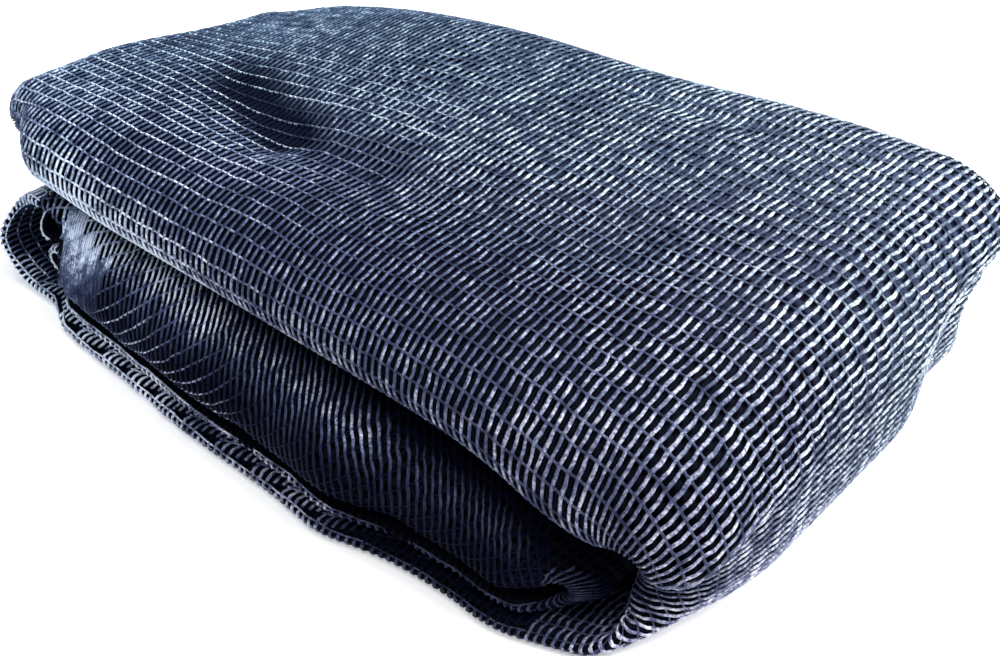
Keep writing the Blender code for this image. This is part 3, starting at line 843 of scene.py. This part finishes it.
threads = []
for name in dict.fromkeys(row[0] for row in areaRows):
    areas = [row for row in asRows(areaColumns, areaRows) if row["piece"] == name]
    piece = buildThreads(name, areas)
    threads.append(piece)
    print(name, "has", len(piece.data.polygons), "faces")

# Finishes. The tints go from lavender in front to teal at the back, the teal a painted sky reflection, and
# from cool at the left end to warm.
netColours = dict(
    deep=(0.002, 0.003, 0.014), thread=(0.082, 0.102, 0.180), pale=(0.47, 0.52, 0.63),
    bright=(0.90, 0.92, 0.98), below=(0.0008, 0.0010, 0.0040), belowThread=(0.012, 0.0150, 0.032),
    lavender=(1.03, 0.95, 1.10), teal=(0.95, 1.09, 1.00), cool=(0.86, 1.00, 1.03), warm=(1.12, 1.03, 0.98),
)
dyeAndReflectionSettings = dict(patchDetail=3, patchShare=0.5, frontToBack=(-0.10, 0.09), leftToRight=(-0.15, 0.15))
# The thread's colour goes with its tone from deep over thread and pale to bright, and so does its gloss.
# The tone carries painted shade and painted light, so the deep end holds painted shade and the bright end
# painted light.
threadFinish = dict(
    patches=9.0, threadTone=0.45, paleTone=1.0, brightTone=1.6,
    speckScale=800, speckDetail=2, speckSpan=(0.35, 0.65), leastSpeck=0.60, mostSpeck=1.40,
    fibreScale=1500, fibreDetail=2, fibreStrength=0.35, fibreDepth=0.0003,
    roughness=0.5, gloss=0.22, deepGloss=0.03, glossSpan=(0.10, 0.40),
)
# The lines of the layers below waver, begin to show at lineFrom, and are paler towards the back; their
# near-black, deepest in front, is painted shade.
sheetFinish = dict(
    patches=14.0, waver=1.5, waverScale=0.4, lineFrom=0.55,
    nearShare=0.3, farShare=3.6, shareSpan=(-0.05, 0.10),
    bumpStrength=0.6, bumpDepth=0.0006, roughness=0.9, gloss=0.03,
)


def newSocket(group, name, kind, way, value=None):
    socket = group.interface.new_socket(name=name, in_out=way, socket_type=kind)
    if value is not None:
        socket.default_value = value


def newNode(nodes, kind, values):
    node = nodes.new(kind)
    for name, value in values.items():
        node.inputs[name].default_value = value
    return node


def rangeNode(nodes, span, result=(0, 1)):
    names = ("From Min", "From Max", "To Min", "To Max")
    return newNode(nodes, "ShaderNodeMapRange", dict(zip(names, (*span, *result))))


def mathNode(nodes, operation):
    node = nodes.new("ShaderNodeMath")
    node.operation = operation
    return node


def tintNode(nodes, first, second):
    node = nodes.new("ShaderNodeMix")
    node.data_type = "RGBA"
    node.inputs["A"].default_value = (*netColours[first], 1)
    node.inputs["B"].default_value = (*netColours[second], 1)
    return node


def multiplyNode(nodes):
    node = nodes.new("ShaderNodeMix")
    node.data_type = "RGBA"
    node.blend_type = "MULTIPLY"
    node.inputs["Factor"].default_value = 1
    return node


# A ramp through the named colours. Its first and last stops are there from the start.
def rampNode(nodes, stops):
    node = nodes.new("ShaderNodeValToRGB")
    elements = node.color_ramp.elements
    for number, (position, name) in ((0, stops[0]), (1, stops[-1])):
        elements[number].position = position
        elements[number].color = (*netColours[name], 1)
    for position, name in stops[1:-1]:
        elements.new(position).color = (*netColours[name], 1)
    return node


# The slow change of colour that the threads and the layers below share: random dye patches, and a tint from
# front to back whose teal is a painted sky reflection.
def dyeAndReflectionGroup():
    d = dyeAndReflectionSettings
    group = bpy.data.node_groups.new("netDyeAndReflection", "ShaderNodeTree")
    newSocket(group, "Colour", "NodeSocketColor", "INPUT", (*netColours["thread"], 1))
    newSocket(group, "Patches", "NodeSocketFloat", "INPUT", threadFinish["patches"])
    newSocket(group, "Colour", "NodeSocketColor", "OUTPUT")
    nodes, links = group.nodes, group.links
    given, made = nodes.new("NodeGroupInput"), nodes.new("NodeGroupOutput")
    place = nodes.new("ShaderNodeTexCoord")
    axes = nodes.new("ShaderNodeSeparateXYZ")
    patches = newNode(nodes, "ShaderNodeTexNoise", {"Detail": d["patchDetail"]})
    depth, along = rangeNode(nodes, d["frontToBack"]), rangeNode(nodes, d["leftToRight"])
    blend = mathNode(nodes, "MULTIPLY_ADD")
    blend.inputs[1].default_value = d["patchShare"]
    depthTint, sideTint = tintNode(nodes, "lavender", "teal"), tintNode(nodes, "cool", "warm")
    bothTints, tinted = multiplyNode(nodes), multiplyNode(nodes)
    links.new(place.outputs["Object"], patches.inputs["Vector"])
    links.new(given.outputs["Patches"], patches.inputs["Scale"])
    links.new(place.outputs["Object"], axes.inputs["Vector"])
    links.new(axes.outputs["Y"], depth.inputs["Value"])
    links.new(axes.outputs["X"], along.inputs["Value"])
    links.new(patches.outputs["Fac"], blend.inputs[0])
    links.new(depth.outputs["Result"], blend.inputs[2])
    links.new(blend.outputs["Value"], depthTint.inputs["Factor"])
    links.new(along.outputs["Result"], sideTint.inputs["Factor"])
    links.new(depthTint.outputs["Result"], bothTints.inputs["A"])
    links.new(sideTint.outputs["Result"], bothTints.inputs["B"])
    links.new(given.outputs["Colour"], tinted.inputs["A"])
    links.new(bothTints.outputs["Result"], tinted.inputs["B"])
    links.new(tinted.outputs["Result"], made.inputs["Colour"])
    return group


dyeAndReflection = dyeAndReflectionGroup()


def withDyeAndReflection(nodes, patches):
    node = nodes.new("ShaderNodeGroup")
    node.node_tree = dyeAndReflection
    node.inputs["Patches"].default_value = patches
    return node


def newMaterial(name, finish):
    material = bpy.data.materials.new(name)
    material.use_nodes = True
    shader = material.node_tree.nodes["Principled BSDF"]
    shader.inputs["Roughness"].default_value = finish["roughness"]
    shader.inputs["Specular IOR Level"].default_value = finish["gloss"]
    return material, shader


def threadMaterial():
    f = threadFinish
    bright = f["brightTone"]
    material, shader = newMaterial("knitted thread", f)
    nodes, links = material.node_tree.nodes, material.node_tree.links
    place = nodes.new("ShaderNodeTexCoord")
    tone = nodes.new("ShaderNodeAttribute")
    tone.attribute_name = "tone"
    # twisted filaments catch the light in specks, painted into the colour, and the gloss follows them
    specks = newNode(nodes, "ShaderNodeTexNoise", {"Scale": f["speckScale"], "Detail": f["speckDetail"]})
    share = rangeNode(nodes, f["speckSpan"], (f["leastSpeck"] / bright, f["mostSpeck"] / bright))
    mottled = mathNode(nodes, "MULTIPLY")
    ramp = rampNode(nodes, (
        (0, "deep"), (f["threadTone"] / bright, "thread"), (f["paleTone"] / bright, "pale"), (1, "bright"),
    ))
    gloss = rangeNode(nodes, f["glossSpan"], (f["deepGloss"], f["gloss"]))
    group = withDyeAndReflection(nodes, f["patches"])
    fibres = newNode(nodes, "ShaderNodeTexNoise", {"Scale": f["fibreScale"], "Detail": f["fibreDetail"]})
    bump = newNode(nodes, "ShaderNodeBump", {"Strength": f["fibreStrength"], "Distance": f["fibreDepth"]})
    links.new(place.outputs["Object"], specks.inputs["Vector"])
    links.new(specks.outputs["Fac"], share.inputs["Value"])
    links.new(tone.outputs["Fac"], mottled.inputs[0])
    links.new(share.outputs["Result"], mottled.inputs[1])
    links.new(mottled.outputs["Value"], gloss.inputs["Value"])
    links.new(gloss.outputs["Result"], shader.inputs["Specular IOR Level"])
    links.new(mottled.outputs["Value"], ramp.inputs["Fac"])
    links.new(ramp.outputs["Color"], group.inputs["Colour"])
    links.new(group.outputs["Colour"], shader.inputs["Base Color"])
    links.new(place.outputs["Object"], fibres.inputs["Vector"])
    links.new(fibres.outputs["Fac"], bump.inputs["Height"])
    links.new(bump.outputs["Normal"], shader.inputs["Normal"])
    return material


# The layers below the outer mesh: the same cross lines and chains, dim with painted shade and a little out
# of step.
def sheetMaterial():
    f = sheetFinish
    material, shader = newMaterial("net layers below", f)
    nodes, links = material.node_tree.nodes, material.node_tree.links
    weave = nodes.new("ShaderNodeUVMap")
    weave.uv_map = "weave"
    most = mathNode(nodes, "MAXIMUM")
    for number, (axis, key) in enumerate((("X", "crossPitch"), ("Y", "chainPitch"))):
        wave = newNode(nodes, "ShaderNodeTexWave", {
            "Scale": math.pi / 10 / stitchSettings[key],    # one band for each pitch
            "Distortion": f["waver"], "Detail Scale": f["waverScale"],
        })
        wave.bands_direction = axis
        links.new(weave.outputs["UV"], wave.inputs["Vector"])
        links.new(wave.outputs["Fac"], most.inputs[number])
    ramp = rampNode(nodes, ((f["lineFrom"], "below"), (1, "belowThread")))
    group = withDyeAndReflection(nodes, f["patches"])
    place = nodes.new("ShaderNodeTexCoord")
    axes = nodes.new("ShaderNodeSeparateXYZ")
    paler = rangeNode(nodes, f["shareSpan"], (f["nearShare"], f["farShare"]))
    scaled = nodes.new("ShaderNodeVectorMath")
    scaled.operation = "SCALE"
    bump = newNode(nodes, "ShaderNodeBump", {"Strength": f["bumpStrength"], "Distance": f["bumpDepth"]})
    links.new(most.outputs["Value"], ramp.inputs["Fac"])
    links.new(ramp.outputs["Color"], group.inputs["Colour"])
    links.new(place.outputs["Object"], axes.inputs["Vector"])
    links.new(axes.outputs["Y"], paler.inputs["Value"])
    links.new(group.outputs["Colour"], scaled.inputs[0])
    links.new(paler.outputs["Result"], scaled.inputs["Scale"])
    links.new(scaled.outputs["Vector"], shader.inputs["Base Color"])
    links.new(most.outputs["Value"], bump.inputs["Height"])
    links.new(bump.outputs["Normal"], shader.inputs["Normal"])
    return material


sheet.data.materials.append(sheetMaterial())
knitted = threadMaterial()
for piece in threads:
    piece.data.materials.append(knitted)
print("finishes are made")

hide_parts("leaf_net")
for piece in (sheet, *threads):
    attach(piece, "root")
